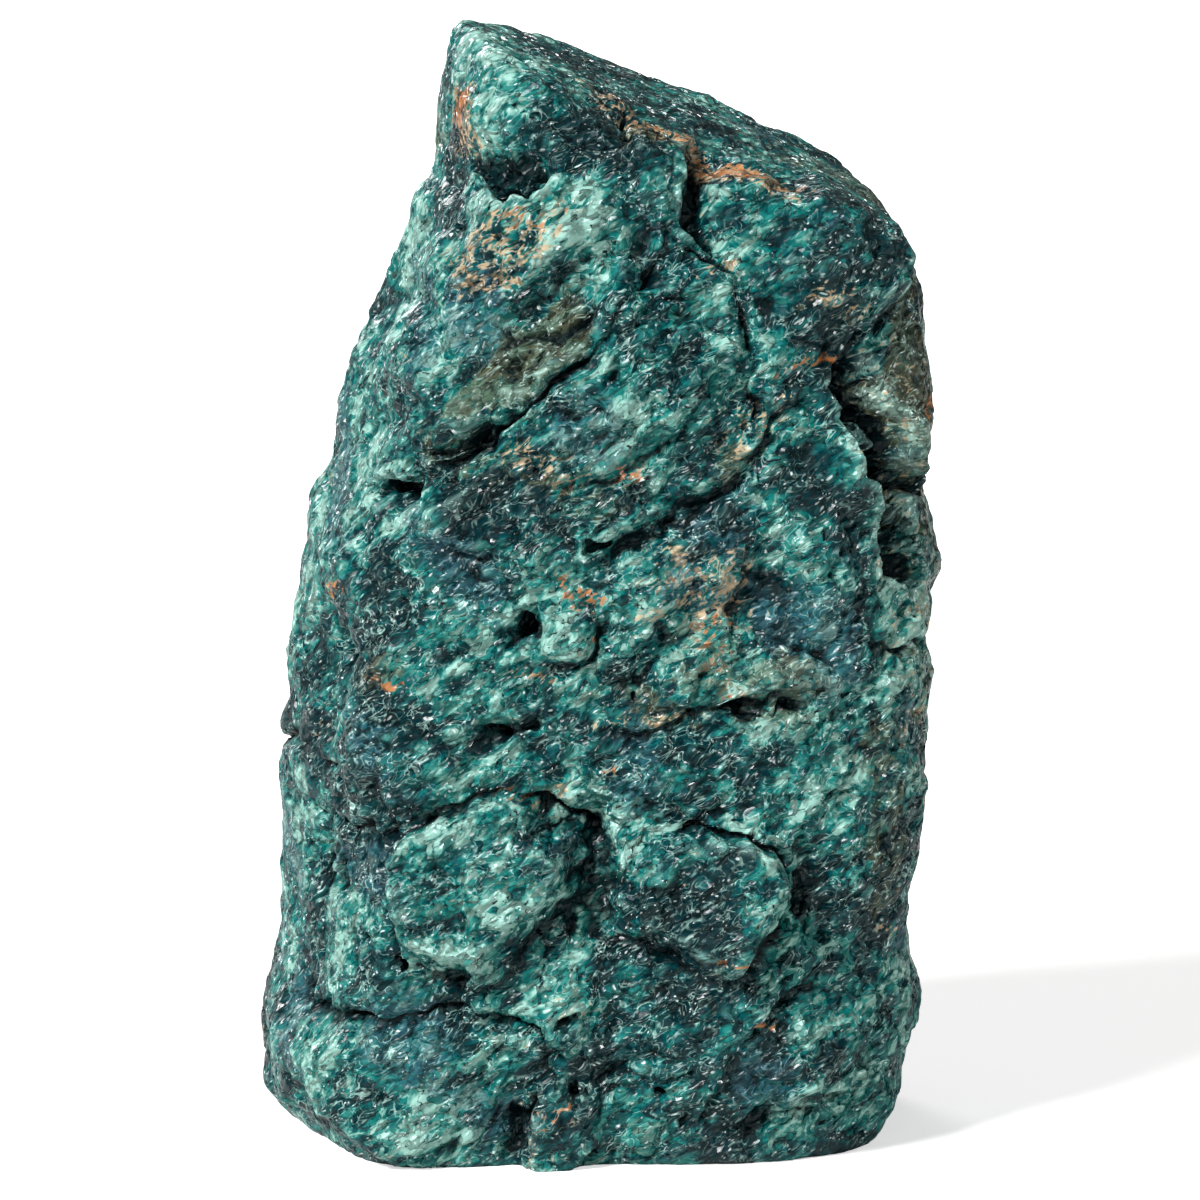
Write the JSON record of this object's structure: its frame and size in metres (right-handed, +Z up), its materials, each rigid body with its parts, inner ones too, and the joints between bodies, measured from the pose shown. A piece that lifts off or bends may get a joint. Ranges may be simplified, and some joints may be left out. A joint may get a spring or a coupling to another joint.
{
  "type": "apatite tower",
  "caption": "Standing lump of rough blue-green apatite with a slanting top, broken granular sides and a flat foot.",
  "frame": {"origin": "centre of the bounding box, at the level of the flat foot", "axes": "+Z up along the stone's height, -Y out of the side that shows best, +X to its right as it is faced"},
  "size_m": [0.136, 0.098, 0.22],
  "materials": {
    "apatite": "rough broken crystal, glassy on single grains"
  },
  "bodies": {
    "root": {"apatite_stone": "apatite"}
  },
  "joints": []
}
